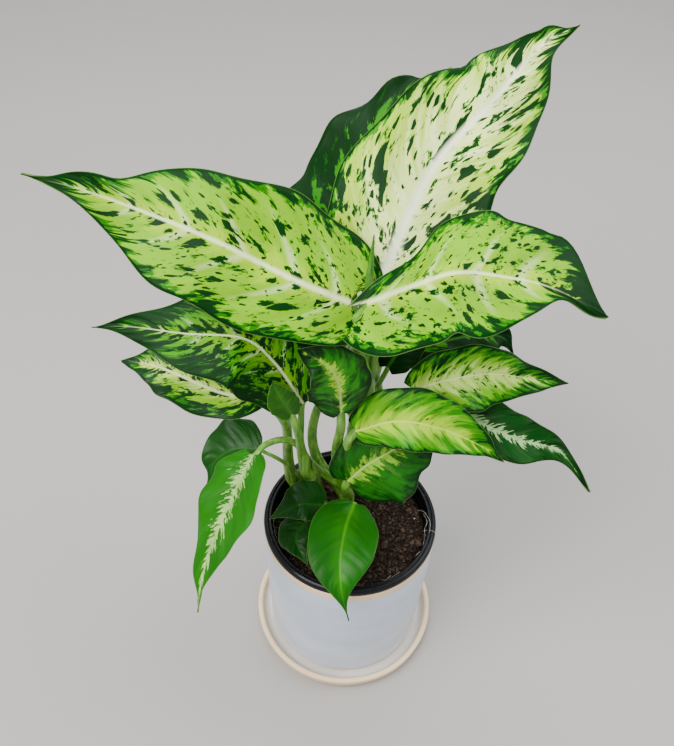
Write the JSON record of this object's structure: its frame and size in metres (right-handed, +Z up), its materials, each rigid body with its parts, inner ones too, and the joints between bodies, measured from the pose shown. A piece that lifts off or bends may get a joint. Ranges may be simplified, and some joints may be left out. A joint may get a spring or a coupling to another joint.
{
  "type": "potted plant",
  "caption": "Potted dieffenbachia: a clump of canes with broad variegated leaves in a nursery pot of soil, inside a round cover pot on a saucer.",
  "frame": {"origin": "middle of the saucer's flat underside, on the pots' common axis", "axes": "+Z up along the pots' axis, +X to the plant's right seen from its front, -Y towards the front; the tallest leaf leans towards +X and +Y"},
  "size_m": [0.3608, 0.2731, 0.4647],
  "materials": {
    "stoneware": "gloss",
    "nursery_plastic": "satin",
    "potting_soil": "matte",
    "cane_skin": "satin",
    "leaf_lime": "satin",
    "leaf_cream": "satin",
    "leaf_green": "satin",
    "leaf_dark": "satin",
    "leaf_rolled": "satin"
  },
  "bodies": {
    "root": {"saucer": "stoneware", "cover_pot": "stoneware", "nursery_pot": "nursery_plastic", "potting_soil": "potting_soil", "cane_main": "cane_skin", "cane_left": "cane_skin", "cane_left_front": "cane_skin", "cane_right": "cane_skin", "cane_back": "cane_skin", "cane_front": "cane_skin", "leaf_top_left": "leaf_lime", "leaf_top_tall": "leaf_cream", "leaf_top_back": "leaf_dark", "leaf_top_right": "leaf_lime", "leaf_mid_left_upper": "leaf_lime", "leaf_mid_left_lower": "leaf_lime", "leaf_young_left": "leaf_green", "leaf_low_left_hanging": "leaf_green", "leaf_low_left_dark": "leaf_dark", "leaf_mid_front": "leaf_green", "leaf_mid_right": "leaf_lime", "leaf_mid_right_front": "leaf_lime", "leaf_right_outer": "leaf_dark", "leaf_low_right": "leaf_green", "leaf_mid_back_right": "leaf_dark", "leaf_mid_back": "leaf_dark", "leaf_low_front": "leaf_green", "leaf_low_front_left": "leaf_dark", "leaf_low_front_under": "leaf_dark", "leaf_back_left": "leaf_dark", "leaf_back_right": "leaf_dark", "new_leaf": "leaf_rolled"}
  },
  "joints": []
}
